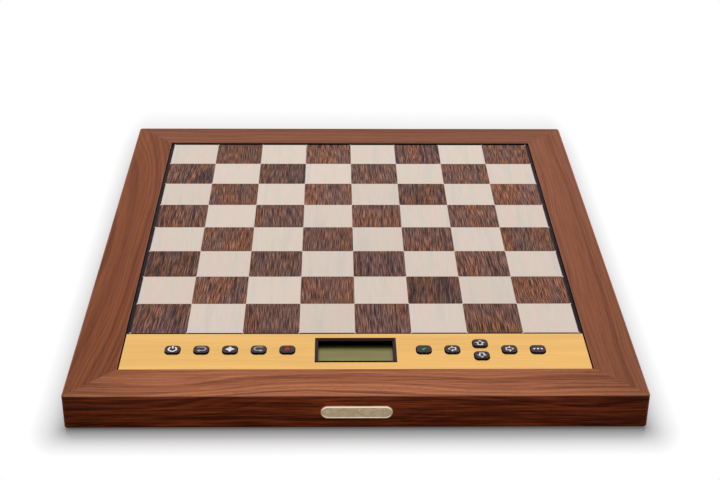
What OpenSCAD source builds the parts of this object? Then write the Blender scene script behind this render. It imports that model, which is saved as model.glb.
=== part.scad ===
// Electronic chess board: a mitred walnut frame around a sensor board that has a
// light at every corner of its squares, and a brass control panel with a display
// and eleven keys. Millimetres, X to the right, Y to the back, Z up.
// The origin is on the table, under the middle of the case.

/* [Playing board] */
// Side of one square
square_w = 40; // [36:0.5:55]
// Dark strip left and right of the squares
side_border = 2.5; // [1.5:0.1:6]
// Dark strip behind the squares
back_border = 0.9; // [0.8:0.1:4]
// Dark strip in front of the squares
front_border = 1; // [0.8:0.1:4]
// Thickness of the veneer squares
veneer_t = 0.8; // [0.5:0.1:2]
// Thickness of the core panel under the veneer
core_t = 3.2; // [2.4:0.1:6]
// Thickness of the circuit board under the core panel
sensor_board_t = 1.6; // [1:0.1:2.4]
// Diameter of the light dots at the corners of the squares
light_dot_d = 1.3; // [0.9:0.1:1.5]

/* [Case] */
// Width of the frame's rails
rail_w = 32.5; // [28:0.1:50]
// Height of the frame's rails
frame_t = 25.4; // [25:0.1:40]
// Radius of the frame's upright corners
corner_r = 2.5; // [2:0.5:10]
// Radius of the outer top edge
top_edge_r = 1; // [0.5:0.25:2]
// Radius of the outer bottom edge
bottom_edge_r = 0.5; // [0.5:0.25:2]
// Bevel of the inner top edge
inner_bevel = 0.5; // [0.2:0.1:1.5]
// Depth of the playing surface below the frame's top
board_recess = 1.5; // [0.5:0.1:3]
// Gap between the frame and what lies inside it
board_gap = 0.5; // [0.2:0.1:1]
// Thickness of the base panel
base_t = 4; // [3:0.5:5]
// Width of the rabbet that holds the base panel
rabbet_w = 12; // [9:0.5:16]
// Width of the strips that carry the board
ledge_w = 8; // [6:0.5:8]
// Height of the strips that carry the board
ledge_t = 6; // [4:0.5:8]
// Distance of the base screws from the corners of the opening
screw_inset = 40; // [34:1:60]

/* [Feet] */
// Height of the rubber feet
foot_h = 2.6; // [2:0.1:8]
// Diameter of the rubber feet
foot_d = 18; // [12:1:20]
// Distance of the feet from the base panel's edges
foot_margin = 0.8; // [0.5:0.1:6]

/* [Control panel] */
// Front to back length of the brass plate
plate_d = 46.5; // [46:0.5:60]
// Thickness of the brass plate
plate_t = 1; // [0.8:0.1:2]
// Bevel along the brass plate's edges
plate_bevel = 0.25; // [0.1:0.05:0.4]
// Width of a key's cap
key_w = 10.7; // [9:0.1:12]
// Front to back length of a key's cap
key_d = 9.8; // [8:0.1:10.5]
// Corner radius of a key's cap
key_r = 3; // [1.5:0.1:3.8]
// Height of a key above the plate
key_rise = 1.2; // [0.8:0.1:2]
// How far a key goes down
key_travel = 0.8; // [0.4:0.1:1]
// Distance between keys in a row
key_pitch = 20; // [19.5:0.5:24]
// Distance of the innermost keys from the middle
inner_key_x = 47.7; // [46:0.1:52]
// Distance between the up key and the down key
arrow_pitch = 15.5; // [14:0.1:17]
// Distance of the row of keys behind the plate's middle
key_row_shift = 1.8; // [-1:0.1:2.5]

/* [Display] */
// Width of the window over the glass
window_w = 52.5; // [36:0.5:54]
// Front to back length of the window
window_d = 25.7; // [16:0.1:26]
// Width of the bezel's rim at the sides of the window
bezel_side = 2.3; // [2:0.1:3.5]
// Width of the bezel's rim behind the window
bezel_back = 2; // [2:0.1:3]
// Width of the bezel's rim in front of the window
bezel_front = 2.2; // [2:0.1:4]
// Height of the bezel above the plate
bezel_rise = 0.5; // [0.2:0.1:0.8]
// Depth of the glass below the plate
display_depth = 4.5; // [3.8:0.1:5]
// Distance of the display behind the plate's middle
display_shift = 2; // [0.8:0.1:2.8]

/* [Badge] */
// Width of the bare badge on the front
badge_w = 48.6; // [20:0.1:90]
// Height of the badge
badge_h = 10.1; // [6:0.1:14]
// Thickness of the badge, with its rim
badge_t = 1.6; // [0.8:0.1:2]
// Distance of the badge below the middle of the rail
badge_drop = 0; // [-2:0.1:2]

/* [Power inlet] */
// Distance of the inlet left of the middle, seen from the front
inlet_offset = 60; // [24:1:62]
// Diameter of the hole for the plug
plug_hole_d = 12; // [9:0.5:12.5]
// Wood left around the plug, in front of the inlet
plug_wall = 6; // [3:0.5:9]

/* [Hidden] */
$fn = 48;
eps = 0.5;                      // how far a cut runs past a face
arc_steps = 6;                  // straight steps in a drawn quarter arc
cells = 8;                      // squares along one side

// Clearances
press_gap = 0.05;               // around pins, screws and light pipes
slide_gap = 0.1;                // around a key in its guide
seat_gap = 0.2;                 // around what is dropped into a pocket
loose_gap = 0.5;                // around boards and the base panel

// Plan of the case
grid_w = cells * square_w;
board_w = grid_w + 2 * side_border;
board_d = back_border + grid_w + front_border;
opening_w = board_w + 2 * board_gap;
opening_d = board_d + plate_d + 2 * board_gap;
case_w = opening_w + 2 * rail_w;
case_d = opening_d + 2 * rail_w;
plate_y0 = -opening_d / 2 + board_gap;
plate_y1 = plate_y0 + plate_d;
board_y1 = plate_y1 + board_d;
grid_y = plate_y1 + front_border + grid_w / 2;
ledge_y = opening_d / 2 - ledge_w;
ledge_x = opening_w / 2 - ledge_w;
between_ledges = 2 * (ledge_x - press_gap);
base_panel_w = opening_w + 2 * (rabbet_w - loose_gap);
base_panel_d = opening_d + 2 * (rabbet_w - loose_gap);

// Heights
top_z = foot_h + frame_t;
play_z = top_z - board_recess;
veneer_z = play_z - veneer_t;
core_z = veneer_z - core_t;
ledge_z = core_z - sensor_board_t;
base_z = foot_h + base_t;

// Wooden joints and fasteners
spline_size = [20, 16, 3];
block_leg = 28;
batten_t = 8;
support_d = 10;
base_screw = [3, 6, 12];        // shank diameter, head diameter, length
board_screw = [2.5, 4.5, 9];
panel_screw = [2, 4, 6];
power_screw = [2, 4, 4.9];
panel_head_ratio = 0.35;        // head height to head diameter
foot_bevel = 1;

// Parts on the sensor board
led_size = [1, 0.5, 0.4];
sensor_size = [2.9, 1.3, 1.1];
plug_size = [22, 5, 4];
plug_step = 12;                 // ribbon plug to the board's edge
ribbon_w = 20;
ribbon_t = 0.8;
ribbon_drop = 2.4;

// Stack of the control panel
web_t = 2;
glass_t = 2.2;
backlight_t = 2.1;
control_board_t = 1.6;
glass_top = play_z - display_depth;
glass_z = glass_top - glass_t;
control_top = glass_z - backlight_t;
control_z = control_top - control_board_t;
web_top = play_z - plate_t;
web_z = web_top - web_t;
control_w = 2 * (ledge_x - loose_gap);
control_y0 = -ledge_y + loose_gap;
control_y1 = plate_y1 - ledge_w / 2 - loose_gap;
display_y = (plate_y0 + plate_y1) / 2 + display_shift;
glass_lap = 2;                  // glass behind the bezel, with its gap
glass_seat = [window_w + 2 * glass_lap, window_d + 2 * glass_lap];
bezel_w = window_w + 2 * bezel_side;
bezel_d = bezel_front + window_d + bezel_back;
bezel_y = display_y + (bezel_back - bezel_front) / 2;
bezel_run = 1.6;                // of the slope inside the rim
bezel_drop = 0.9;               // of the slope below the plate
bezel_wall = 1.2;
well_wall = 1.5;
zebra_w = 1.6;

// Keys: name, side, place in the row, step to the back
key_row_y = (plate_y0 + plate_y1) / 2 + key_row_shift;
KEYS = [
    ["power_key", -1, 4, 0],
    ["flip_board_key", -1, 3, 0],
    ["menu_key", -1, 2, 0],
    ["take_back_key", -1, 1, 0],
    ["cancel_key", -1, 0, 0],
    ["confirm_key", 1, 0, 0],
    ["left_key", 1, 1, 0],
    ["up_key", 1, 2, 1],
    ["down_key", 1, 2, -1],
    ["right_key", 1, 3, 0],
    ["new_game_key", 1, 4, 0]
];
key_edge_r = 0.6;
aperture_gap = 0.3;             // brass plate to key
flange_rim = 1.1;
flange_t = 1;
membrane_t = 0.8;
dome_spare = 1.2;               // dome left when a key is down
dome_h = key_travel + dome_spare;
dome_r = [4, 2.8];
dome_wall = 0.7;
dome_roof = 0.8;
plunger_size = [5, 4];
pad_t = 0.1;
boss_d = 5;
boss_inset = 3.8;

// Parts under the control board
buzzer_d = 23;
buzzer_h = 6;
buzzer_x = -100;
sound_hole_d = 2;
sound_ring_r = 5;
sound_chamber_h = 1;
processor_size = [14, 14, 1.4];
processor_x = 88;
memory_size = [6, 5, 1.5];
memory_x = 106;
crystal_size = [11, 4.6, 3.5];
crystal_x = 68;
capacitor_d = 6.3;
capacitor_h = 7;
capacitor_x = [44, 52];
ribbon_x = 20;

// Power inlet
inlet_x = -inlet_offset;
inlet_setback = 1;              // housing behind the wood around the plug
inlet_size = [9, 14, 11];
inlet_axis_h = 6.5;             // plug's axis above the power board
inlet_bore_d = 6.3;
inlet_bore_l = 9.5;
inlet_pin_d = 2;
inlet_pin_root = 2;
pocket_y1 = case_d / 2 - plug_wall;
inlet_y1 = pocket_y1 - inlet_setback;
power_board_w = 16;
power_board_t = 1.6;
power_board_tail = 8.5;         // length inside the opening
power_board_y0 = opening_d / 2 - power_board_tail;
power_board_top = base_z + power_board_t;
power_screw_inset = 3;          // from the board's long sides
power_screw_step = 4;           // behind the opening
power_screw_y = opening_d / 2 + power_screw_step;
inlet_axis_z = power_board_top + inlet_axis_h;
pocket_top = max(power_board_top + inlet_size[2], inlet_axis_z + plug_hole_d / 2) + loose_gap;
wire_plug_size = [8, 6, 5];
wire_plug_step = 2.5;           // in front of the opening's back
wire_plug_y = opening_d / 2 - wire_plug_step;
cable_d = 2.8;
cable_z = min(ledge_z - batten_t - seat_gap - cable_d / 2,
              power_board_top + wire_plug_size[2] / 2);
cable_y0 = (control_y0 + control_y1) / 2;
clip_size = [8, 6];
clip_roof = 1;
clip_rows = [-2.5, 0.5, 3.5];   // in squares from the board's middle

// Badge
badge_rim = 0.9;
badge_rim_t = 0.4;
badge_z = foot_h + frame_t / 2 - badge_drop;
badge_pin_d = 2;
badge_pin_l = 6;
badge_pin_step = 1;             // inward from the middle of the badge's round end
badge_pin_x = (badge_w - badge_h) / 2 - badge_pin_step;

// ---- Shared shapes -------------------------------------------------------

function arc(centre, r, from, to, steps = arc_steps) =
    [for (i = [0:steps]) let (a = from + (to - from) * i / steps)
        [centre[0] + r * cos(a), centre[1] + r * sin(a)]];

// Places of the lights and of the middles of the squares
function line_at(i) = (i - cells / 2) * square_w;
function middle_at(i) = line_at(i) + square_w / 2;

module at_crossings() {
    for (i = [0:cells], j = [0:cells])
        translate([line_at(i), grid_y + line_at(j), 0]) children();
}

module at_base_screws() {
    for (sx = [-1, 1], k = [-1, 0, 1])
        translate([sx * (opening_w + rabbet_w) / 2, k * (opening_d / 2 - screw_inset), 0])
            children();
    for (sy = [-1, 1], k = [-1, 0, 1])
        translate([k * (opening_w / 2 - screw_inset), sy * (opening_d + rabbet_w) / 2, 0])
            children();
}

module at_board_screws() {
    for (sx = [-1, 1], j = [1, 4, 7])
        translate([sx * (ledge_x + ledge_w / 2), grid_y + middle_at(j), 0]) children();
    for (i = [1, 6])
        translate([middle_at(i), ledge_y + ledge_w / 2, 0]) children();
}

module at_carrier_screws() {
    for (s = [-1, 1], k = [0, 2, 4])
        for (y = [control_y0 + boss_inset, control_y1 - boss_inset])
            translate([s * (inner_key_x + (k - 0.5) * key_pitch), y, 0]) children();
}

module box_at(centre_x, y0, y1, z0, z1, w) {
    translate([centre_x - w / 2, y0, z0]) cube([w, y1 - y0, z1 - z0]);
}

module rounded_plan(w, d, r) {
    square([w - 2 * r, d], center = true);
    square([w, d - 2 * r], center = true);
    for (sx = [-1, 1], sy = [-1, 1])
        translate([sx * (w / 2 - r), sy * (d / 2 - r)]) circle(r);
}

// A slab whose four upper edges are bevelled
module bevelled_slab(w, d, t, bevel) {
    intersection() {
        rotate([90, 0, 0]) translate([0, 0, -d / 2]) linear_extrude(d)
            bevelled_side(w, t, bevel);
        rotate([90, 0, 90]) translate([0, 0, -w / 2]) linear_extrude(w)
            bevelled_side(d, t, bevel);
    }
}

module bevelled_side(w, t, bevel) {
    polygon([[-w / 2, 0], [w / 2, 0], [w / 2, t - bevel], [w / 2 - bevel, t],
             [-w / 2 + bevel, t], [-w / 2, t - bevel]]);
}

// A countersunk screw that points up, its head flush at z = 0
module countersunk_screw(size) {
    head_h = (size[1] - size[0]) / 2;
    slot_w = size[0] / 5;
    difference() {
        union() {
            cylinder(d1 = size[1], d2 = size[0], h = head_h);
            cylinder(d = size[0], h = size[2]);
        }
        for (turn = [0, 90])
            rotate(turn) translate([-size[0] / 2, -slot_w / 2, -eps])
                cube([size[0], slot_w, eps + head_h / 2]);
    }
}

module countersunk_hole(size, depth) {
    head_h = (size[1] - size[0]) / 2;
    cylinder(d1 = size[1] + 2 * press_gap, d2 = size[0] + 2 * press_gap, h = head_h);
    translate([0, 0, -eps]) cylinder(d = size[1] + 2 * press_gap, h = eps);
    cylinder(d = size[0] + 2 * press_gap, h = depth);
}

// A flat-headed screw that points up, its head under z = 0
module panel_screw_shape(size) {
    head_h = panel_head_ratio * size[1];
    slot_w = size[0] / 4;
    difference() {
        union() {
            translate([0, 0, -head_h]) cylinder(d = size[1], h = head_h);
            cylinder(d = size[0], h = size[2]);
        }
        translate([-size[1] / 2, -slot_w / 2, -head_h - eps])
            cube([size[1], slot_w, eps + head_h / 2]);
    }
}

// ---- Walnut frame --------------------------------------------------------

// Section of a rail: across it from the outer face, and up
module rail_section() {
    polygon(concat(
        arc([bottom_edge_r, foot_h + bottom_edge_r], bottom_edge_r, 180, 270),
        [[rail_w - rabbet_w, foot_h], [rail_w - rabbet_w, base_z], [rail_w, base_z],
         [rail_w, top_z - inner_bevel], [rail_w - inner_bevel, top_z]],
        arc([top_edge_r, top_z - top_edge_r], top_edge_r, 90, 180)));
}

module corner_section() {
    polygon(concat(
        [[0, foot_h]],
        arc([corner_r - bottom_edge_r, foot_h + bottom_edge_r], bottom_edge_r, 270, 360),
        arc([corner_r - top_edge_r, top_z - top_edge_r], top_edge_r, 0, 90),
        [[0, top_z]]));
}

// A rail along X with its outer face to the front, mitred at both ends
module rail(span, reach) {
    run = span / 2 - corner_r;
    inner = span / 2 - rail_w;
    intersection() {
        translate([-run, -reach, 0]) rotate([90, 0, 90]) linear_extrude(2 * run)
            rail_section();
        linear_extrude(top_z + eps)
            polygon([[-run, -reach - eps], [run, -reach - eps], [run, corner_r - reach],
                     [inner, rail_w - reach], [-inner, rail_w - reach],
                     [-run, corner_r - reach]]);
    }
    for (s = [-1, 1])
        translate([s * run, corner_r - reach, 0])
            rotate_extrude(angle = 90, start = 225) corner_section();
}

module spline_shapes(gap) {
    for (sx = [-1, 1], sy = [-1, 1])
        translate([sx * (opening_w + rail_w) / 2, sy * (opening_d + rail_w) / 2,
                   (base_z + top_z) / 2])
            rotate(45 * sx * sy)
                cube([for (side = spline_size) side + 2 * gap], center = true);
}

module frame_holes() {
    spline_shapes(seat_gap / 2);
    translate([0, 0, foot_h]) at_base_screws()
        cylinder(d = base_screw[0] + 2 * press_gap, h = base_screw[2] + eps);
}

module front_rail() {
    color("sienna") difference() {
        rail(case_w, case_d / 2);
        frame_holes();
        for (s = [-1, 1])
            translate([s * badge_pin_x, -case_d / 2 - eps, badge_z]) rotate([-90, 0, 0])
                cylinder(d = badge_pin_d + 2 * press_gap, h = badge_pin_l + 2 * eps);
    }
}

module back_rail() {
    color("sienna") difference() {
        rotate(180) rail(case_w, case_d / 2);
        frame_holes();
        translate([inlet_x, pocket_y1 - eps, inlet_axis_z]) rotate([-90, 0, 0])
            cylinder(d = plug_hole_d, h = plug_wall + 2 * eps);
        box_at(inlet_x, opening_d / 2 - eps, pocket_y1, base_z, pocket_top,
               power_board_w + 2 * loose_gap);
    }
}

module left_rail() {
    color("saddlebrown") difference() {
        rotate(-90) rail(case_d, case_w / 2);
        frame_holes();
    }
}

module right_rail() {
    color("saddlebrown") difference() {
        rotate(90) rail(case_d, case_w / 2);
        frame_holes();
    }
}

module corner_splines() {
    color("burlywood") spline_shapes(0);
}

module corner_blocks() {
    color("burlywood")
        for (sx = [-1, 1], sy = [-1, 1])
            translate([sx * opening_w / 2, sy * opening_d / 2, base_z])
                linear_extrude(ledge_z - ledge_t - base_z)
                    polygon([[0, 0], [-sx * block_leg, 0], [0, -sy * block_leg]]);
}

module ledge_strips() {
    color("burlywood") difference() {
        union() {
            for (s = [-1, 1])
                box_at(s * (ledge_x + ledge_w / 2), -opening_d / 2, opening_d / 2,
                       ledge_z - ledge_t, ledge_z, ledge_w);
            for (y = [-opening_d / 2, ledge_y])
                box_at(0, y, y + ledge_w, ledge_z - ledge_t, ledge_z, between_ledges);
        }
        translate([0, 0, ledge_z - ledge_t]) at_board_screws()
            countersunk_hole(board_screw, ledge_t + eps);
    }
}

module cross_batten() {
    color("burlywood")
        box_at(0, plate_y1 - ledge_w / 2, plate_y1 + ledge_w / 2,
               ledge_z - batten_t, ledge_z, between_ledges);
}

// ---- Base ----------------------------------------------------------------

module base_panel() {
    color("dimgray") difference() {
        box_at(0, -base_panel_d / 2, base_panel_d / 2, foot_h, base_z, base_panel_w);
        translate([0, 0, foot_h]) at_base_screws()
            countersunk_hole(base_screw, base_t + eps);
        translate([buzzer_x, cable_y0, foot_h - eps]) {
            cylinder(d = sound_hole_d, h = base_t + 2 * eps);
            for (turn = [0:60:300])
                rotate(turn) translate([sound_ring_r, 0, 0])
                    cylinder(d = sound_hole_d, h = base_t + 2 * eps);
        }
        translate([0, 0, power_board_top]) at_power_board_screws()
            mirror([0, 0, 1])
                cylinder(d = power_screw[0] + 2 * press_gap, h = power_screw[2] + press_gap);
    }
}

module board_supports() {
    color("burlywood")
        for (i = [2, 4, 6], j = [2, 4, 6])
            translate([line_at(i), grid_y + line_at(j), base_z])
                cylinder(d = support_d, h = ledge_z - base_z);
}

module rubber_feet() {
    inset = foot_margin + foot_d / 2;
    color("black")
        for (sx = [-1, 1], sy = [-1, 1])
            translate([sx * (base_panel_w / 2 - inset), sy * (base_panel_d / 2 - inset), 0])
                rotate_extrude()
                    polygon([[0, 0], [foot_d / 2 - foot_bevel, 0], [foot_d / 2, foot_bevel],
                             [foot_d / 2, foot_h], [0, foot_h]]);
}

module base_screws() {
    color("silver") translate([0, 0, foot_h]) at_base_screws()
        countersunk_screw(base_screw);
}

// ---- Playing board -------------------------------------------------------

module tiles(first) {
    translate([0, grid_y, veneer_z])
        for (i = [0:cells - 1], j = [0:cells - 1])
            if ((i + j) % 2 == first)
                translate([middle_at(i), middle_at(j), 0]) linear_extrude(veneer_t)
                    difference() {
                        square(square_w, center = true);
                        for (sx = [-1, 1], sy = [-1, 1])
                            translate([sx, sy] * square_w / 2) circle(d = light_dot_d);
                    }
}

module light_squares() {
    color("antiquewhite") tiles(1);
}

module dark_squares() {
    color("saddlebrown") tiles(0);
}

module border_strip() {
    color("black") difference() {
        box_at(0, plate_y1, board_y1, veneer_z, play_z, board_w);
        box_at(0, grid_y - grid_w / 2, grid_y + grid_w / 2, veneer_z - eps, play_z + eps,
               grid_w);
        translate([0, 0, veneer_z - eps]) at_crossings()
            cylinder(d = light_dot_d, h = veneer_t + 2 * eps);
    }
}

module core_panel() {
    color("tan") difference() {
        box_at(0, plate_y1, board_y1, core_z, veneer_z, board_w);
        translate([0, 0, core_z - eps]) at_crossings()
            cylinder(d = light_dot_d + 2 * press_gap, h = core_t + 2 * eps);
        translate([0, 0, core_z - eps]) at_board_screws()
            cylinder(d = board_screw[0] + 2 * press_gap, h = core_t / 2 + 2 * eps);
    }
}

module light_pipes() {
    pipe_z = core_z + led_size[2] + seat_gap;
    color("white") translate([0, 0, pipe_z]) at_crossings()
        cylinder(d = light_dot_d, h = play_z - pipe_z);
}

module sensor_board() {
    color("darkgreen") difference() {
        box_at(0, plate_y1, board_y1, ledge_z, core_z, board_w);
        translate([0, 0, ledge_z - eps]) at_board_screws()
            cylinder(d = board_screw[0] + 2 * press_gap, h = sensor_board_t + 2 * eps);
    }
}

module position_leds() {
    color("lightyellow") translate([0, 0, core_z + led_size[2] / 2]) at_crossings()
        cube(led_size, center = true);
}

module piece_sensors() {
    color("black")
        for (i = [0:cells - 1], j = [0:cells - 1])
            translate([middle_at(i), grid_y + middle_at(j), ledge_z - sensor_size[2] / 2])
                cube(sensor_size, center = true);
}

module board_screws() {
    color("silver") translate([0, 0, ledge_z - ledge_t]) at_board_screws()
        countersunk_screw(board_screw);
}

module sensor_plug() {
    plug_y = plate_y1 + plug_step;
    color("ivory")
        box_at(ribbon_x, plug_y - plug_size[1] / 2, plug_y + plug_size[1] / 2,
               ledge_z - plug_size[2], ledge_z, plug_size[0]);
}

// Flat cable from plug to plug, under the batten
module sensor_ribbon() {
    y0 = control_y1 - plug_size[1];
    y1 = plate_y1 + plug_step;
    low = control_z - plug_size[2] - ribbon_drop;
    bend = ribbon_drop / 2;
    half = ribbon_t / 2;
    color("gray") translate([ribbon_x - ribbon_w / 2, 0, 0]) rotate([90, 0, 90])
        linear_extrude(ribbon_w)
            polygon(concat(
                [[y0 - half, control_z - plug_size[2]]],
                arc([y0 + bend, low + bend], bend + half, 180, 270),
                arc([y1 - bend, low + bend], bend + half, 270, 360),
                [[y1 + half, ledge_z - plug_size[2]], [y1 - half, ledge_z - plug_size[2]]],
                arc([y1 - bend, low + bend], bend - half, 360, 270),
                arc([y0 + bend, low + bend], bend - half, 270, 180),
                [[y0 + half, control_z - plug_size[2]]]));
}

// ---- Control panel -------------------------------------------------------

function key_x(key) = key[1] * (inner_key_x + key[2] * key_pitch);
function key_y(key) = key_row_y + key[3] * arrow_pitch / 2;

module at_keys() {
    for (key = KEYS)
        translate([key_x(key), key_y(key), 0]) children();
}

module brass_plate() {
    color("goldenrod") difference() {
        translate([0, (plate_y0 + plate_y1) / 2, web_top])
            bevelled_slab(board_w, plate_d, plate_t, plate_bevel);
        translate([0, bezel_y, web_top - eps]) linear_extrude(plate_t + 2 * eps)
            square([bezel_w, bezel_d], center = true);
        translate([0, 0, web_top - eps]) at_keys() linear_extrude(plate_t + 2 * eps)
            rounded_plan(key_w + 2 * aperture_gap, key_d + 2 * aperture_gap,
                         key_r + aperture_gap);
    }
}

// Moulded tray under the plate: it guides the keys and frames the display
module key_carrier() {
    color("black") difference() {
        union() {
            box_at(0, plate_y0, plate_y1, web_z, web_top, board_w);
            difference() {
                box_at(0, plate_y0, plate_y1, ledge_z, web_z, board_w);
                box_at(0, -ledge_y, control_y1 + loose_gap, ledge_z - eps, web_z,
                       2 * ledge_x);
            }
            box_at(0, display_y - glass_seat[1] / 2 - well_wall,
                   display_y + glass_seat[1] / 2 + well_wall, glass_z, web_z,
                   glass_seat[0] + 2 * well_wall);
            translate([0, 0, control_top]) at_carrier_screws()
                cylinder(d = boss_d, h = web_z - control_top);
        }
        translate([0, display_y, glass_z - eps]) linear_extrude(web_top - glass_z + 2 * eps)
            square([window_w + 2 * bezel_wall + seat_gap,
                    window_d + 2 * bezel_wall + seat_gap], center = true);
        translate([0, display_y, glass_z - eps]) linear_extrude(glass_t + eps)
            square(glass_seat, center = true);
        translate([0, 0, web_z - eps]) at_keys() linear_extrude(web_t + 2 * eps)
            rounded_plan(key_w + 2 * slide_gap, key_d + 2 * slide_gap, key_r + slide_gap);
        translate([0, 0, control_top - eps]) at_carrier_screws()
            cylinder(d = panel_screw[0] + 2 * press_gap,
                     h = panel_screw[2] - control_board_t + 2 * eps);
    }
}

// Rim over the plate's edge, wider in front, that slopes down to the glass
module display_bezel() {
    color("black") difference() {
        union() {
            translate([0, bezel_y, web_top]) linear_extrude(plate_t + bezel_rise)
                square([bezel_w - 2 * press_gap, bezel_d - 2 * press_gap], center = true);
            translate([0, display_y, glass_top]) linear_extrude(web_top - glass_top)
                square([window_w + 2 * bezel_wall, window_d + 2 * bezel_wall],
                       center = true);
        }
        translate([0, display_y, glass_top - eps])
            linear_extrude(play_z + bezel_rise - glass_top + 2 * eps)
                square([window_w, window_d], center = true);
        translate([0, display_y, 0]) intersection() {
            rotate([90, 0, 0]) translate([0, 0, -bezel_d]) linear_extrude(2 * bezel_d)
                bezel_slope_section(window_w);
            rotate([90, 0, 90]) translate([0, 0, -bezel_w]) linear_extrude(2 * bezel_w)
                bezel_slope_section(window_d);
        }
    }
}

module bezel_slope_section(low_w) {
    low = play_z - bezel_drop;
    high = play_z + bezel_rise;
    high_w = low_w + 2 * bezel_run;
    polygon([[-low_w / 2, low], [low_w / 2, low], [high_w / 2, high],
             [high_w / 2, high + eps], [-high_w / 2, high + eps], [-high_w / 2, high]]);
}

module display_glass() {
    color("olivedrab", 0.8)
        box_at(0, display_y - glass_seat[1] / 2 + seat_gap,
               display_y + glass_seat[1] / 2 - seat_gap, glass_z, glass_top,
               glass_seat[0] - 2 * seat_gap);
}

module display_backlight() {
    edge = zebra_w + 2 * seat_gap + loose_gap;
    color("white")
        box_at(0, display_y - glass_seat[1] / 2 + edge, display_y + glass_seat[1] / 2 - edge,
               control_top, glass_z, glass_seat[0] - 2 * seat_gap);
}

// Rubber strips that carry the signals from the board up to the glass
module display_connectors() {
    reach = glass_seat[1] / 2 - seat_gap - zebra_w / 2;
    color("pink")
        for (s = [-1, 1])
            translate([0, display_y + s * reach, (control_top + glass_z) / 2])
                cube([window_w, zebra_w, backlight_t], center = true);
}

module key_membrane() {
    from_x = glass_seat[0] / 2 + well_wall + loose_gap;
    to_x = control_w / 2 - loose_gap;
    color("gainsboro") difference() {
        union() {
            for (s = [-1, 1])
                box_at(s * (from_x + to_x) / 2, control_y0, control_y1, control_top,
                       control_top + membrane_t, to_x - from_x);
            translate([0, 0, control_top + membrane_t]) at_keys()
                cylinder(r1 = dome_r[0], r2 = dome_r[1], h = dome_h);
        }
        translate([0, 0, control_top]) at_keys() {
            translate([0, 0, -eps]) cylinder(r = dome_r[0] - dome_wall, h = eps);
            cylinder(r1 = dome_r[0] - dome_wall, r2 = dome_r[1] - dome_wall,
                     h = membrane_t + dome_h - dome_roof);
        }
        translate([0, 0, control_top - eps]) at_carrier_screws()
            cylinder(d = boss_d + 2 * seat_gap, h = membrane_t + 2 * eps);
    }
}

module contact_pads() {
    color("dimgray") translate([0, 0, control_top]) at_keys()
        cylinder(r = dome_r[1] - dome_wall, h = pad_t);
}

// One key: a cap with rounded edges on a flange, and a plunger down to its dome
module key(spec) {
    cap_top = play_z + key_rise;
    color("black") translate([key_x(spec), key_y(spec), 0]) {
        translate([0, 0, web_z]) rounded_cap(cap_top - web_z);
        translate([0, 0, web_z - flange_t]) linear_extrude(flange_t)
            square([key_w + 2 * flange_rim, key_d + 2 * flange_rim], center = true);
        translate([0, 0, control_top + membrane_t + dome_h])
            linear_extrude(web_z - flange_t - control_top - membrane_t - dome_h)
                square(plunger_size, center = true);
    }
}

module rounded_cap(h) {
    rotate([90, 0, 0]) translate([0, 0, key_r - key_d / 2])
        linear_extrude(key_d - 2 * key_r) cap_side(key_w, h);
    rotate([90, 0, 90]) translate([0, 0, key_r - key_w / 2])
        linear_extrude(key_w - 2 * key_r) cap_side(key_d, h);
    for (sx = [-1, 1], sy = [-1, 1])
        translate([sx * (key_w / 2 - key_r), sy * (key_d / 2 - key_r), 0])
            rotate_extrude()
                polygon(concat([[0, 0], [key_r, 0]],
                    arc([key_r - key_edge_r, h - key_edge_r], key_edge_r, 0, 90),
                    [[0, h]]));
}

module cap_side(w, h) {
    polygon(concat([[-w / 2, 0], [w / 2, 0]],
        arc([w / 2 - key_edge_r, h - key_edge_r], key_edge_r, 0, 90),
        arc([key_edge_r - w / 2, h - key_edge_r], key_edge_r, 90, 180)));
}

module control_board() {
    color("darkgreen") difference() {
        box_at(0, control_y0, control_y1, control_z, control_top, control_w);
        translate([0, 0, control_z - eps]) at_carrier_screws()
            cylinder(d = panel_screw[0] + 2 * press_gap, h = control_board_t + 2 * eps);
    }
}

module carrier_screws() {
    color("silver") translate([0, 0, control_z]) at_carrier_screws()
        panel_screw_shape(panel_screw);
}

// A part soldered under the control board
module under_board(x, size) {
    color("black") translate([x, cable_y0, control_z - size[2] / 2])
        cube(size, center = true);
}

module processor() {
    under_board(processor_x, processor_size);
}

module memory_chip() {
    under_board(memory_x, memory_size);
}

module crystal() {
    ends = crystal_size[0] - crystal_size[1];
    color("silver") translate([crystal_x, cable_y0, control_z - crystal_size[2]])
        linear_extrude(crystal_size[2]) {
            square([ends, crystal_size[1]], center = true);
            for (s = [-1, 1]) translate([s * ends / 2, 0]) circle(d = crystal_size[1]);
        }
}

module capacitors() {
    color("navy")
        for (x = capacitor_x)
            translate([x, cable_y0, control_z - capacitor_h])
                cylinder(d = capacitor_d, h = capacitor_h);
}

module control_plug() {
    y = control_y1 - plug_size[1];
    color("ivory")
        box_at(ribbon_x, y - plug_size[1] / 2, y + plug_size[1] / 2,
               control_z - plug_size[2], control_z, plug_size[0]);
}

module buzzer() {
    color("black") translate([buzzer_x, cable_y0, base_z]) difference() {
        cylinder(d = buzzer_d, h = buzzer_h);
        translate([0, 0, -eps])
            cylinder(r = sound_ring_r + sound_hole_d, h = sound_chamber_h + eps);
    }
}

// ---- Power ---------------------------------------------------------------

module at_power_board_screws() {
    for (s = [-1, 1])
        translate([inlet_x + s * (power_board_w / 2 - power_screw_inset), power_screw_y, 0])
            children();
}

module power_board() {
    color("darkgreen") difference() {
        box_at(inlet_x, power_board_y0, inlet_y1, base_z, power_board_top, power_board_w);
        translate([0, 0, base_z - eps]) at_power_board_screws()
            cylinder(d = power_screw[0] + 2 * press_gap, h = power_board_t + 2 * eps);
    }
}

module power_board_screws() {
    color("silver") translate([0, 0, power_board_top]) at_power_board_screws()
        mirror([0, 0, 1]) panel_screw_shape(power_screw);
}

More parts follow.
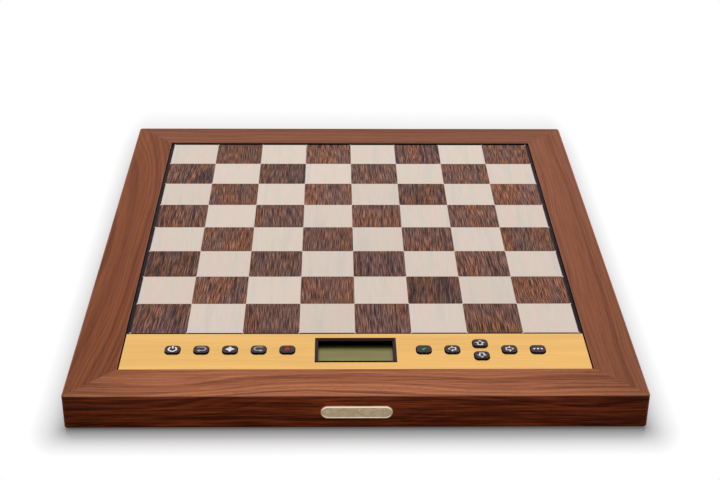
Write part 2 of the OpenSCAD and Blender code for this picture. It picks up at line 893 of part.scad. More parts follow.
module inlet_housing() {
    color("black") difference() {
        box_at(inlet_x, inlet_y1 - inlet_size[1], inlet_y1, power_board_top,
               power_board_top + inlet_size[2], inlet_size[0]);
        translate([inlet_x, inlet_y1 + eps, inlet_axis_z]) rotate([90, 0, 0]) {
            cylinder(d = inlet_bore_d, h = inlet_bore_l + eps);
            cylinder(d = inlet_pin_d, h = inlet_bore_l + inlet_pin_root + eps);
        }
    }
}

module inlet_pin() {
    color("silver")
        translate([inlet_x, inlet_y1 - loose_gap, inlet_axis_z]) rotate([90, 0, 0])
            cylinder(d = inlet_pin_d, h = inlet_bore_l + inlet_pin_root - loose_gap);
}

module power_plugs() {
    color("ivory") {
        translate([inlet_x, wire_plug_y, power_board_top + wire_plug_size[2] / 2])
            cube(wire_plug_size, center = true);
        box_at(inlet_x, cable_y0 - wire_plug_size[1] / 2, cable_y0 + wire_plug_size[1] / 2,
               cable_z - cable_d / 2, control_z, wire_plug_size[0]);
    }
}

module power_cable() {
    from = cable_y0 + wire_plug_size[1] / 2;
    to = wire_plug_y - wire_plug_size[1] / 2;
    color("red") translate([inlet_x, from, cable_z]) rotate([-90, 0, 0])
        cylinder(d = cable_d, h = to - from);
}

module cable_clips() {
    color("white")
        for (k = clip_rows)
            translate([inlet_x, grid_y + k * square_w, 0]) difference() {
                box_at(0, -clip_size[1] / 2, clip_size[1] / 2, base_z,
                       cable_z + cable_d / 2 + clip_roof, clip_size[0]);
                translate([0, -clip_size[1], cable_z]) rotate([-90, 0, 0])
                    cylinder(d = cable_d + 2 * press_gap, h = 2 * clip_size[1]);
            }
}

// ---- Badge ---------------------------------------------------------------

module stadium(w, h) {
    square([w - h, h], center = true);
    for (s = [-1, 1]) translate([s * (w - h) / 2, 0]) circle(d = h);
}

module badge() {
    color("tan") translate([0, -case_d / 2, badge_z]) rotate([90, 0, 0]) difference() {
        linear_extrude(badge_t) stadium(badge_w, badge_h);
        translate([0, 0, badge_t - badge_rim_t]) linear_extrude(badge_rim_t + eps)
            stadium(badge_w - 2 * badge_rim, badge_h - 2 * badge_rim);
    }
}

module badge_pins() {
    color("tan")
        for (s = [-1, 1])
            translate([s * badge_pin_x, -case_d / 2, badge_z]) rotate([-90, 0, 0])
                cylinder(d = badge_pin_d, h = badge_pin_l);
}

// ---- Assembly ------------------------------------------------------------

front_rail();
back_rail();
left_rail();
right_rail();
corner_splines();
corner_blocks();
ledge_strips();
cross_batten();
base_panel();
board_supports();
rubber_feet();
base_screws();
light_squares();
dark_squares();
border_strip();
core_panel();
light_pipes();
sensor_board();
position_leds();
piece_sensors();
board_screws();
sensor_plug();
sensor_ribbon();
brass_plate();
key_carrier();
display_bezel();
display_glass();
display_backlight();
display_connectors();
key_membrane();
contact_pads();
control_board();
carrier_screws();
processor();
memory_chip();
crystal();
capacitors();
control_plug();
buzzer();
power_board();
power_board_screws();
inlet_housing();
inlet_pin();
power_plugs();
power_cable();
cable_clips();
badge();
badge_pins();
for (spec = KEYS)
    key(spec);
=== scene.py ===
"""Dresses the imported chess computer: walnut frame, inlaid squares, brass key panel,
rubber keys with their marks, display, badge, and everything inside and underneath."""

import math

import bmesh
import bpy
from mathutils import Matrix, Vector


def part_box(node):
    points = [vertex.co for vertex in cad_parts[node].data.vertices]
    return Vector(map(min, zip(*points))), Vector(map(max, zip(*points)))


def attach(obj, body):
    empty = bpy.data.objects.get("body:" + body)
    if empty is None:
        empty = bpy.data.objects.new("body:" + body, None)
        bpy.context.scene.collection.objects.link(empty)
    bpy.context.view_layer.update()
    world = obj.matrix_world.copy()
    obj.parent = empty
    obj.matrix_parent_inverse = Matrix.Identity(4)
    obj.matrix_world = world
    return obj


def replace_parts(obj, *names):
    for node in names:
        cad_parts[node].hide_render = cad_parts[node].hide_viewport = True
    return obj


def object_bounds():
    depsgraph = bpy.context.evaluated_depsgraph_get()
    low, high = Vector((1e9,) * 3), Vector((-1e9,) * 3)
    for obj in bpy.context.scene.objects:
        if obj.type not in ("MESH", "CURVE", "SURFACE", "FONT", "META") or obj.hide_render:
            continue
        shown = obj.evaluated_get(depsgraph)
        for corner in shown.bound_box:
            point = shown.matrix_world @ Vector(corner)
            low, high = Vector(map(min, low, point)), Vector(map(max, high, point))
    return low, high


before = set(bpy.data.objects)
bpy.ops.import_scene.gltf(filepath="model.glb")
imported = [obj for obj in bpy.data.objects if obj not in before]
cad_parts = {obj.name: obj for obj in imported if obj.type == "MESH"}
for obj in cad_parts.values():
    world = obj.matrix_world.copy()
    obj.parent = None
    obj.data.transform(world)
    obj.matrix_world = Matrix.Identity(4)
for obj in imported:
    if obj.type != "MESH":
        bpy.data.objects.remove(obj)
cad_low, cad_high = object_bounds()

MM = 0.001


# ---- Camera -----------------------------------------------------------------

EYE = Vector((-15.6, -979.5, 560.6)) * MM
LENS_MM = 69.8
SENSOR_MM = 36
TURN_RIGHT = 1.246              # degrees, as the next two are
LOOK_DOWN = 28.555
LEAN = 0.59


def place_camera():
    """A long lens in front of the key panel, a little left of the middle."""
    data = bpy.data.cameras.new("camera")
    data.lens = LENS_MM
    data.sensor_width = SENSOR_MM
    camera = bpy.data.objects.new("camera", data)
    bpy.context.scene.collection.objects.link(camera)
    camera.matrix_world = (
        Matrix.Translation(EYE)
        @ Matrix.Rotation(math.radians(-TURN_RIGHT), 4, "Z")
        @ Matrix.Rotation(math.radians(90 - LOOK_DOWN), 4, "X")
        @ Matrix.Rotation(math.radians(LEAN), 4, "Z"))
    bpy.context.scene.camera = camera


# ---- Nodes and colours ------------------------------------------------------

# Colour inputs of a Mix node
MIX_A, MIX_B = 6, 7


def linear(hex_colour):
    """An sRGB hex colour as linear red, green, blue and alpha."""
    channels = [int(hex_colour[i:i + 2], 16) / 255 for i in (1, 3, 5)]
    return [c / 12.92 if c <= 0.04045 else ((c + 0.055) / 1.055) ** 2.4
            for c in channels] + [1.0]


def add(tree, kind, inputs=(), stops=(), **settings):
    """Adds a node with its settings. Its inputs come by name, or as a list in the node's
    own order (for a Map Range: value, from min and max, to min and max). Each is a value,
    the socket that feeds it, or the node whose first output in use feeds it. Stops are
    the places and colours of a ramp."""
    node = tree.nodes.new("ShaderNode" + kind)
    for name, value in settings.items():
        setattr(node, name, value)
    for name, value in inputs.items() if isinstance(inputs, dict) else enumerate(inputs):
        if isinstance(value, bpy.types.Node):
            value = next(socket for socket in value.outputs if socket.enabled)
        if isinstance(value, bpy.types.NodeSocket):
            tree.links.new(value, node.inputs[name])
        else:
            node.inputs[name].default_value = value
    for i, (place, colour) in enumerate(stops):
        elements = node.color_ramp.elements
        element = elements[i] if i < 2 else elements.new(place)
        element.position = place
        element.color = linear(colour)
    return node


def new_material(name):
    """A material, and its tree without nodes."""
    material = bpy.data.materials.new(name)
    material.use_nodes = True
    material.node_tree.nodes.clear()
    return material, material.node_tree


def surfaced(material, inputs, height=None, strength=0.0, depth=0.0):
    """The material with one Principled shader that takes the inputs. Height, if there is
    one, is a relief that is depth millimetres deep."""
    tree = material.node_tree
    if height is not None:
        inputs["Normal"] = add(tree, "Bump", {
            "Strength": strength, "Distance": depth * MM, "Height": height})
    add(tree, "OutputMaterial", {"Surface": add(tree, "BsdfPrincipled", inputs)})
    return material


def millimetres(tree, stretch=(1, 1, 1)):
    """Position on the object in millimetres, divided by stretch."""
    return add(tree, "Mapping", {
        "Vector": add(tree, "TexCoord").outputs["Object"],
        "Scale": [1 / MM / s for s in stretch]})


def facing_up(tree):
    """One where the surface faces straight up, nought where it is upright, and minus one
    where it faces down."""
    normal = add(tree, "TexCoord").outputs["Normal"]
    return add(tree, "SeparateXYZ", [normal]).outputs["Z"]


# ---- Wood -------------------------------------------------------------------

GROWTH_LINE = "#4a2416"         # of the pores as well
UPRIGHT_SHADE_TINT = "#f0b697"       # painted shade: multiplies the walnut's own colour on upright faces
ARRIS_HIGHLIGHT = "#d3967a"          # painted highlight on the rounded arrises
INNER_WALL_BLACK = "#0b0909"         # on the inner walls
BLACK_WALL_EDGE = 0.3                # how far out from the inner wall the near-black ends, in mm

RING_SLOPE = 0.8                # how far a growth ring moves sideways as it goes down
FINE_RINGS = 0.34               # layers to a millimetre, as the next two are
BROAD_RINGS = 0.085
LINE_RINGS = 0.06
TONE_REACH = 0.16               # from the middle tone to the darkest and to the palest

HEART_START = 75.0              # from the rail's middle, in millimetres
HEART_FULL = 150.0
HEART_WANDER = 80.0

# How each rail's board was cut. Tones go from dark to pale. Figure is how strong the
# growth rings are, and sweep how many millimetres they wander; fibrous is how strong the
# fibres and pores are; lines is how strong the thin dark growth lines are; bow is how
# much the rings curve along the rail; heart is how much darker the rail is towards its
# ends; and shift is a place in the tree.
RAIL_BOARDS = {
    "front_rail": dict(tones=("#7f4935", "#ab6849", "#bf7955"), figure=0.9, sweep=46,
                       fibrous=0.42, lines=0.4, bow=0, heart=0.34, shift=1.7),
    "back_rail": dict(tones=("#693c2c", "#87543d", "#975f47"), figure=0.5, sweep=30,
                      fibrous=0.3, lines=0.7, bow=0, heart=0, shift=5.2),
    "left_rail": dict(tones=("#603324", "#814931", "#955938"), figure=0.6, sweep=26,
                      fibrous=0.2, lines=0.7, bow=4e-4, heart=0, shift=8.4),
    "right_rail": dict(tones=("#6a3c2e", "#8d553d", "#9c644a"), figure=0.5, sweep=20,
                       fibrous=0.24, lines=0.7, bow=0, heart=0, shift=3.9),
}


def oiled_walnut(rail, tones, figure, sweep, fibrous, lines, bow, heart, shift):
    """Walnut, planed and oiled: quiet red-brown with soft growth rings that sweep along
    the rail, fine fibres, and short open pores. It has a soft sheen, and its arrises carry
    a painted highlight. The upright faces are darkened with painted shade, and the wall
    that faces the board is near-black."""
    material, tree = new_material("walnut_oiled_" + rail.replace("_rail", ""))
    low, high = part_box(rail)
    place = add(tree, "SeparateXYZ", [millimetres(tree)]).outputs
    runs_across = high.x - low.x > high.y - low.y
    if runs_across:
        length, across = place["X"], place["Y"]
        wall_mm = min(abs(low.y), abs(high.y)) / MM
    else:
        length, across = place["Y"], place["X"]
        wall_mm = min(abs(low.x), abs(high.x)) / MM

    def grain(width, long, detail, roughness=0.5, **settings):
        """Noise of one grain: width across the rail and long along it, in millimetres."""
        stretch = (long, width, width) if runs_across else (width, long, width)
        return add(tree, "TexNoise", {
            "Vector": millimetres(tree, stretch), "Scale": 1.0, "Detail": detail,
            "Roughness": roughness}, **settings)

    warp = grain(34, 190, 1.5, 0.45, noise_dimensions="4D")
    warp.inputs["W"].default_value = shift
    fibres = grain(0.95, 30, 3.0, 0.6)
    flames = grain(2.2, 60, 2.0)
    # Pores are 0.2 mm wide on walnut; they are drawn twice as wide, so that they show
    pores = add(tree, "MapRange", [grain(0.42, 5.5, 1.0), 0.6, 0.72, 0, fibrous])

    # The rings lie oblique, so that they show on top and on the faces, and bow a little
    oblique = add(tree, "Math", [place["Z"], RING_SLOPE, across], operation="MULTIPLY_ADD")
    squared = add(tree, "Math", [length, length], operation="MULTIPLY")
    bowed = add(tree, "Math", [squared, bow, oblique], operation="MULTIPLY_ADD")
    ring = add(tree, "Math", [warp, sweep, bowed], operation="MULTIPLY_ADD")

    def layers(per_mm, detail):
        """Light and dark layers of wood that follow the rings."""
        year = add(tree, "Math", [ring, per_mm, shift], operation="MULTIPLY_ADD")
        return add(tree, "TexNoise", {
            "W": year, "Scale": 1.0, "Detail": detail, "Roughness": 0.55},
            noise_dimensions="1D")

    # How much each pattern tells in the tone
    shares = [
        (layers(FINE_RINGS, 2.5), 0.62 * figure),
        (layers(BROAD_RINGS, 1.0), 0.5 * figure),
        (flames, 0.7 * fibrous),
        (fibres, fibrous)]
    figured = 0.0
    for pattern, share in shares:
        figured = add(tree, "Math", [pattern, share, figured], operation="MULTIPLY_ADD")
    middle = sum(share for _, share in shares) / 2
    colour = add(tree, "ValToRGB", [figured], [
        (middle + reach, tone) for reach, tone in zip((-TONE_REACH, 0, TONE_REACH), tones)])

    # Thin dark growth lines about 10 mm apart, that fade in and out
    offset = add(tree, "Math", [layers(LINE_RINGS, 1.0), 0.5], operation="SUBTRACT")
    nearness = add(tree, "Math", [offset], operation="ABSOLUTE")
    fading = add(tree, "Math", [flames, lines], operation="MULTIPLY")
    line = add(tree, "MapRange", [nearness, 0.024, 0.006, 0, fading])
    lined = add(tree, "Mix", {
        0: add(tree, "Math", [line, pores], operation="MAXIMUM"), MIX_A: colour,
        MIX_B: linear(GROWTH_LINE)}, data_type="RGBA")

    # Painted shade: the upright faces are darker and redder than the top, more so along the
    # fibres
    upward = facing_up(tree)
    upright = add(tree, "MapRange", [upward, 0.9, 0.3])
    upright_shade_tinted = add(tree, "Mix", {
        0: upright, MIX_A: lined, MIX_B: linear(UPRIGHT_SHADE_TINT)}, data_type="RGBA",
        blend_type="MULTIPLY")
    flame_part = add(tree, "Math", [flames, 0.4], operation="MULTIPLY")
    open_grain = add(tree, "Math", [fibres, 0.6, flame_part], operation="MULTIPLY_ADD")
    grain_shade = add(tree, "MapRange", [open_grain, 0.4, 0.6, -0.38, 0.55])
    upright_shade_scale = add(tree, "Math", [upright, grain_shade, 1.0], operation="MULTIPLY_ADD")
    upright_shaded = add(tree, "VectorMath", {0: upright_shade_tinted, "Scale": upright_shade_scale}, operation="SCALE")

    # The ends come from nearer the heart of the tree
    from_middle = add(tree, "Math", [length], operation="ABSOLUTE")
    wandering = add(tree, "Math", [warp, -HEART_WANDER, from_middle],
                    operation="MULTIPLY_ADD")
    near_heart = add(tree, "MapRange", [wandering, HEART_START, HEART_FULL, 1, 1 - heart])
    darkened = add(tree, "VectorMath", {0: upright_shaded, "Scale": near_heart},
                   operation="SCALE")

    # Painted highlight on the upper part of the rounded arris, and on the bevel of the inner
    # one
    turned_down = add(tree, "MapRange", [upward, 0.995, 0.95])
    level = add(tree, "Math", [1.0, upright], operation="SUBTRACT")
    arris = add(tree, "Math", [turned_down, level], operation="MULTIPLY")
    arris_highlighted = add(tree, "Mix", {
        0: add(tree, "Math", [arris, 0.5], operation="MULTIPLY"), MIX_A: darkened,
        MIX_B: linear(ARRIS_HIGHLIGHT)}, data_type="RGBA")

    # The wall that faces the board is near-black
    aside = add(tree, "Math", [across], operation="ABSOLUTE")
    wall = add(tree, "MapRange", [aside, wall_mm + BLACK_WALL_EDGE, wall_mm + BLACK_WALL_EDGE / 2])
    painted = add(tree, "Mix", {
        0: add(tree, "Math", [wall, upright], operation="MULTIPLY"), MIX_A: arris_highlighted,
        MIX_B: linear(INNER_WALL_BLACK)}, data_type="RGBA")
    relief = add(tree, "Math", [pores, -2.0, fibres], operation="MULTIPLY_ADD")
    return surfaced(material, {
        "Base Color": painted, "Roughness": 0.5, "Specular IOR Level": 0.05},
        height=relief, strength=0.25, depth=0.08)


squares_low, squares_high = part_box("light_squares")
GRID_CORNER = (squares_low.x, squares_low.y, 0)
SQUARE_SIDE = (squares_high.x - squares_low.x) / 8

# How far apart on its leaf two squares may be cut, in millimetres
ROSEWOOD_LEAF = (211, 353, 97)
MAPLE_LEAF = (191, 83, 0)


def cut_squares(tree, leaf):
    """Squares cut from all over a leaf of veneer. Gives the square a point is on, the
    place on it from 0 to 1, the square's three chances, and the place on the leaf."""
    moved = add(tree, "VectorMath", [add(tree, "TexCoord").outputs["Object"], GRID_CORNER],
                operation="SUBTRACT")
    counted = add(tree, "VectorMath", [moved, (SQUARE_SIDE, SQUARE_SIDE, 1.0)],
                  operation="DIVIDE")
    square = add(tree, "VectorMath", [counted], operation="FLOOR")
    within = add(tree, "VectorMath", [counted], operation="FRACTION")
    chances = add(tree, "TexWhiteNoise", [square]).outputs["Color"]
    shift = add(tree, "VectorMath", [chances, leaf], operation="MULTIPLY")
    place = add(tree, "VectorMath", [millimetres(tree), shift], operation="ADD")
    return square, within, chances, place


def glued_edges(tree, colour, within, width, share, glue):
    """The colour with a share of the glue's tone in it, in the last width millimetres
    along a square's four sides."""
    place = add(tree, "SeparateXYZ", [within]).outputs
    from_middle = []
    for axis in "XY":
        offset = add(tree, "Math", [place[axis], 0.5], operation="SUBTRACT")
        from_middle.append(add(tree, "Math", [offset], operation="ABSOLUTE"))
    furthest = add(tree, "Math", from_middle, operation="MAXIMUM")
    line = width * MM / SQUARE_SIDE
    edge = add(tree, "MapRange", [furthest, 0.5 - 1.3 * line, 0.5 - 0.7 * line, 0, share])
    return add(tree, "Mix", {0: edge, MIX_A: colour, MIX_B: linear(glue)}, data_type="RGBA")


def rosewood_veneer():
    """Rosewood veneer, sanded and lacquered thin: near-black streaks and orange fibres
    that run away from the player, each square cut from another place on the leaf."""
    material, tree = new_material("rosewood_veneer_lacquered")
    square, within, chances, cut = cut_squares(tree, ROSEWOOD_LEAF)
    chance = add(tree, "SeparateColor", [chances]).outputs
    column = add(tree, "VectorMath", [square, (1, 0, 0)], operation="MULTIPLY")
    column_chances = add(tree, "TexWhiteNoise", [column]).outputs["Color"]
    column_chance = add(tree, "SeparateColor", [column_chances]).outputs
    place = add(tree, "SeparateXYZ", [cut]).outputs

    def grain(across, width, long, detail, roughness=0.55):
        """Noise of one grain: width across and long along the fibres, in millimetres."""
        cells = add(tree, "CombineXYZ", [
            add(tree, "Math", [across, 1 / width], operation="MULTIPLY"),
            add(tree, "Math", [place["Y"], 1 / long], operation="MULTIPLY")])
        return add(tree, "TexNoise", {
            "Vector": cells, "Scale": 1.0, "Detail": detail, "Roughness": roughness})

    # The fibres lean by up to 3 degrees, another way on each square, and sway by 2.6 mm
    lean = add(tree, "MapRange", [chance["Green"], 0, 1, -0.05, 0.05])
    leaned = add(tree, "Math", [place["Y"], lean, place["X"]], operation="MULTIPLY_ADD")
    sway = grain(leaned, 13, 34, 2.0, 0.5)
    swayed = add(tree, "Math", [sway, 2.6, leaned], operation="MULTIPLY_ADD")
    fibres = grain(swayed, 0.54, 16, 2.0)
    streaks = grain(swayed, 2.6, 110, 2.0)
    clouds = grain(swayed, 16, 60, 1.0)

    # Brown ground between dark fibres; it turns orange where the clouds are, more so in
    # some of the columns
    ground = add(tree, "ValToRGB", [fibres], [
        (0.36, "#281d22"), (0.5, "#62453e"), (0.64, "#9d7364")])
    orange = add(tree, "ValToRGB", [fibres], [
        (0.37, "#27181d"), (0.5, "#6b4130"), (0.63, "#b07655")])
    cloudy = add(tree, "Math", [column_chance["Red"], 0.22, clouds],
                 operation="MULTIPLY_ADD")
    warmed = add(tree, "Mix", {
        0: add(tree, "MapRange", [cloudy, 0.5, 0.74]), MIX_A: ground, MIX_B: orange},
        data_type="RGBA")

    # Near-black streaks, wider in some of the columns and broken by the fibres
    threshold = add(tree, "MapRange", [column_chance["Green"], 0, 1, 0.5, 0.64])
    above = add(tree, "Math", [streaks, threshold], operation="SUBTRACT")
    streak = add(tree, "MapRange", [above, -0.02, 0.05, 0, 0.85])
    broken = add(tree, "MapRange", [fibres, 0.4, 0.65, 1.0, 0.6])
    streaked = add(tree, "Mix", {
        0: add(tree, "Math", [streak, broken], operation="MULTIPLY"), MIX_A: warmed,
        MIX_B: linear("#151722")}, data_type="RGBA")

    # Tone of the whole square
    tone = add(tree, "MapRange", [chance["Blue"], 0, 1, 0.83, 1.2])
    toned = add(tree, "VectorMath", {0: streaked, "Scale": tone}, operation="SCALE")
    return surfaced(material, {
        "Base Color": glued_edges(tree, toned, within, width=0.3, share=0.5, glue="#4d3732"),
        "Roughness": 0.5, "Specular IOR Level": 0.08},
        height=fibres, strength=0.2, depth=0.04)


def maple_veneer():
    """Bleached maple veneer, sanded and lacquered thin: pale and even, with faint pink
    and grey bands and fine fibres."""
    material, tree = new_material("maple_veneer_bleached")
    _, within, chances, place = cut_squares(tree, MAPLE_LEAF)
    chance = add(tree, "SeparateColor", [chances]).outputs
    bands, fibres = [
        add(tree, "TexNoise", {
            "Vector": add(tree, "VectorMath", [place, (1 / width, 1 / long, 1)],
                          operation="MULTIPLY"),
            "Scale": 1.0, "Detail": 2.0})
        for width, long in ((7, 90), (0.9, 16))]
    pale = add(tree, "ValToRGB", [bands], [
        (0.3, "#dccfc4"), (0.5, "#e2d3c6"), (0.7, "#e7d0c4")])
    shade = add(tree, "MapRange", [fibres, 0.3, 0.7, 0.97, 1.02])
    tone = add(tree, "MapRange", [chance["Blue"], 0, 1, 0.96, 1.03])
    toned = add(tree, "VectorMath", {
        0: pale, "Scale": add(tree, "Math", [shade, tone], operation="MULTIPLY")},
        operation="SCALE")
    return surfaced(material, {
        "Base Color": glued_edges(tree, toned, within, width=0.25, share=0.3, glue="#8e7b6d"),
        "Roughness": 0.5, "Specular IOR Level": 0.12},
        height=fibres, strength=0.15, depth=0.03)


def black_dyed_veneer():
    """Dyed hardwood strip: blue-black, with pale flecks where the dye took less."""
    material, tree = new_material("black_dyed_veneer")
    flecks = add(tree, "TexNoise", {
        "Vector": millimetres(tree, (0.7, 9, 1)), "Scale": 1.0, "Detail": 3.0})
    colour = add(tree, "ValToRGB", [flecks], [
        (0.35, "#151217"), (0.6, "#241e26"), (0.8, "#433945")])
    return surfaced(material, {
        "Base Color": colour, "Roughness": 0.5, "Specular IOR Level": 0.06},
        height=flecks, strength=0.2, depth=0.04)


def sawn_beech():
    """Beech, sawn: pale pinkish tan with short dark rays, dull."""
    material, tree = new_material("beech_sawn")
    grain = add(tree, "TexNoise", {
        "Vector": millimetres(tree, (18, 18, 1.2)), "Scale": 1.0, "Detail": 3.0})
    rays = add(tree, "TexNoise", {
        "Vector": millimetres(tree, (0.5, 0.5, 3)), "Scale": 1.0, "Detail": 1.0})
    ground = add(tree, "ValToRGB", [grain], [(0.35, "#b88a5c"), (0.65, "#d2aa7b")])
    colour = add(tree, "Mix", {
        0: add(tree, "MapRange", [rays, 0.62, 0.72, 0, 0.6]), MIX_A: ground,
        MIX_B: linear("#8a5f3c")}, data_type="RGBA")
    return surfaced(material, {"Base Color": colour, "Roughness": 0.7},
                    height=grain, strength=0.4, depth=0.1)


def birch_plywood():
    """Birch plywood, sanded: cream plies 1 mm thick with dark glue lines."""
    material, tree = new_material("birch_plywood_sanded")
    plies = add(tree, "TexWave", {
        "Vector": millimetres(tree), "Scale": 0.31, "Distortion": 0.4, "Detail": 1.0},
        bands_direction="Z").outputs["Fac"]
    grain = add(tree, "TexNoise", {
        "Vector": millimetres(tree, (1.2, 30, 1)), "Scale": 1.0, "Detail": 3.0})
    ground = add(tree, "ValToRGB", [grain], [(0.35, "#c9a87c"), (0.65, "#dcc299")])
    colour = add(tree, "Mix", {
        0: add(tree, "Math", [plies, 0.35], operation="MULTIPLY"), MIX_A: ground,
        MIX_B: linear("#8f6b45")}, data_type="RGBA")
    return surfaced(material, {"Base Color": colour, "Roughness": 0.65})


def tempered_hardboard():
    """Hardboard, pressed smooth: dark brown, with the mottle of its matted fibres."""
    material, tree = new_material("hardboard_tempered")
    mottle = add(tree, "TexNoise", {
        "Vector": millimetres(tree, (1.5, 1.5, 1.5)), "Scale": 1.0, "Detail": 5.0})
    clumps = add(tree, "TexVoronoi", {
        "Vector": millimetres(tree, (2.4, 0.7, 1)), "Scale": 1.0})
    matted = add(tree, "Math", [clumps, 0.3, mottle], operation="MULTIPLY_ADD")
    colour = add(tree, "ValToRGB", [matted], [
        (0.4, "#2a1c15"), (0.6, "#3f2c21"), (0.85, "#5c4433")])
    return surfaced(material, {"Base Color": colour, "Roughness": 0.6},
                    height=mottle, strength=0.3, depth=0.06)


# ---- Metal ------------------------------------------------------------------

JOINT_DIRT = 0.5                # width of the black line on the plate's back edge, in mm


def brushed_brass():
    """Brass sheet, brushed from side to side and lacquered: warm gold with long fine
    lines, and a slow change of tone from the brushing. Old polish has blackened it in
    the joint along the squares."""
    material, tree = new_material("brass_brushed")
    lines = add(tree, "TexNoise", {
        "Vector": millimetres(tree, (70, 0.5, 5)), "Scale": 1.0, "Detail": 4.0,
        "Roughness": 0.7})
    passes = add(tree, "TexNoise", {
        "Vector": millimetres(tree, (120, 7, 5)), "Scale": 1.0, "Detail": 2.0})
    brushing = add(tree, "Math", [passes, 0.5, lines], operation="MULTIPLY_ADD")
    gold = add(tree, "ValToRGB", [brushing], [
        (0.55, "#e2b166"), (0.75, "#edba6b"), (0.95, "#f8c472")])
    place = add(tree, "SeparateXYZ", [millimetres(tree)]).outputs["Y"]
    back_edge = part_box("brass_plate")[1].y / MM
    joint = add(tree, "MapRange", [
        place, back_edge - 1.2 * JOINT_DIRT, back_edge - 0.8 * JOINT_DIRT])
    blackened = add(tree, "Mix", {
        0: joint, MIX_A: gold, MIX_B: linear("#0c0806")}, data_type="RGBA")
    return surfaced(material, {
        "Base Color": blackened, "Metallic": 1.0,
        "Roughness": add(tree, "MapRange", [lines, 0.3, 0.7, 0.2, 0.28])},
        height=lines, strength=0.05, depth=0.02)


def cast_pewter():
    """Pewter, cast and gilded thin: champagne, dull, with the fine grit of the mould.
    It has a painted highlight along the rim's top and painted shade underneath."""
    material, tree = new_material("pewter_cast")
    grit = add(tree, "TexNoise", {
        "Vector": millimetres(tree, (0.5, 0.5, 0.5)), "Scale": 1.0, "Detail": 4.0,
        "Roughness": 0.65})
    stain = add(tree, "TexNoise", {
        "Vector": millimetres(tree, (5, 3, 3)), "Scale": 1.0, "Detail": 2.0})
    mottled = add(tree, "Math", [stain, 0.5, grit], operation="MULTIPLY_ADD")
    colour = add(tree, "ValToRGB", [mottled], [
        (0.5, "#8c775c"), (0.75, "#b09a7c"), (1.0, "#d2c1a4")])
    upward = facing_up(tree)
    # Painted highlight: paler where the rim faces up
    rim_top_highlighted = add(tree, "Mix", {
        0: add(tree, "MapRange", [upward, 0.1, 0.55]), MIX_A: colour,
        MIX_B: linear("#f6ead2")}, data_type="RGBA")
    # Painted shade: darker where the badge faces down
    underside_shaded = add(tree, "Mix", {
        0: add(tree, "MapRange", [upward, -0.1, -0.4]), MIX_A: rim_top_highlighted,
        MIX_B: linear("#5d4a36")}, data_type="RGBA")
    return surfaced(material, {
        "Base Color": underside_shaded, "Metallic": 1.0,
        "Roughness": add(tree, "MapRange", [grit, 0.3, 0.7, 0.3, 0.5])},
        height=grit, strength=0.5, depth=0.08)


def zinc_plated_steel():
    """Steel, turned and zinc plated: grey, a little blue, with fine turning lines."""
    material, tree = new_material("steel_zinc_plated")
    tarnish = add(tree, "TexNoise", {
        "Vector": millimetres(tree, (1.5, 1.5, 0.2)), "Scale": 1.0, "Detail": 4.0})
    colour = add(tree, "ValToRGB", [tarnish], [(0.35, "#9fa1a3"), (0.65, "#c3c6c9")])
    return surfaced(material, {
        "Base Color": colour, "Metallic": 1.0,
        "Roughness": add(tree, "MapRange", [tarnish, 0, 1, 0.25, 0.45])})


# ---- Plastics, rubber and glass ---------------------------------------------

BEZEL_SHADOW_LENGTH = 9.0                # length of the painted shadow along the display's back edge, in millimetres
GLASS_BEHIND = 1.8 * MM         # glass that lies hidden behind the bezel


def key_rubber():
    """Silicone rubber keys, moulded: dark warm grey, dull, with the fine orange peel
    of the mould and a little dust in it. Painted shade makes their sides and edges
    near-black."""
    material, tree = new_material("silicone_rubber_keys")
    peel = add(tree, "TexNoise", {
        "Vector": millimetres(tree, (0.35, 0.35, 0.35)), "Scale": 1.0, "Detail": 2.0})
    dust = add(tree, "TexNoise", {
        "Vector": millimetres(tree, (2.5, 2.5, 2.5)), "Scale": 1.0, "Detail": 4.0})
    top = add(tree, "ValToRGB", [dust], [(0.35, "#413637"), (0.65, "#514648")])
    # Painted shade: near-black where the key turns away from straight up
    sides_shaded = add(tree, "Mix", {
        0: add(tree, "MapRange", [facing_up(tree), 0.8, 0.996]),
        MIX_A: linear("#080606"), MIX_B: top}, data_type="RGBA")
    return surfaced(material, {
        "Base Color": sides_shaded, "Roughness": 0.55, "Specular IOR Level": 0.06},
        height=peel, strength=0.25, depth=0.03)


def key_ink(name, colour, worn):
    """Screen-printed ink on the keys, slightly uneven where the rubber took less."""
    material, tree = new_material(name)
    cover = add(tree, "TexNoise", {
        "Vector": millimetres(tree, (0.6, 0.6, 0.6)), "Scale": 1.0, "Detail": 3.0})
    return surfaced(material, {
        "Base Color": add(tree, "ValToRGB", [cover], [(0.3, worn), (0.55, colour)]),
        "Roughness": 0.5, "Specular IOR Level": 0.1})


def black_abs():
    """ABS, moulded with a fine spark-eroded texture: black, with warm grey on what faces
    up: dust, and painted light that is palest on the slopes."""
    material, tree = new_material("abs_black_moulded")
    texture = add(tree, "TexNoise", {
        "Vector": millimetres(tree, (0.3, 0.3, 0.3)), "Scale": 1.0, "Detail": 3.0})
    bloom = add(tree, "TexNoise", {
        "Vector": millimetres(tree, (9, 9, 9)), "Scale": 1.0, "Detail": 2.0})
    black = add(tree, "ValToRGB", [bloom], [(0.35, "#040303"), (0.65, "#090607")])
    # Dust and painted light: grey on what faces up, palest on slopes near 45 degrees
    dust = add(tree, "ValToRGB", [facing_up(tree)], [
        (0.4, "#000000"), (0.7, "#423433"), (0.85, "#3d3130"), (0.97, "#302626")])
    dust_and_light_grey = add(tree, "Mix", {0: 1.0, MIX_A: black, MIX_B: dust}, data_type="RGBA",
                 blend_type="ADD")
    return surfaced(material, {
        "Base Color": dust_and_light_grey, "Roughness": 0.45, "Specular IOR Level": 0.04},
        height=texture, strength=0.25, depth=0.02)


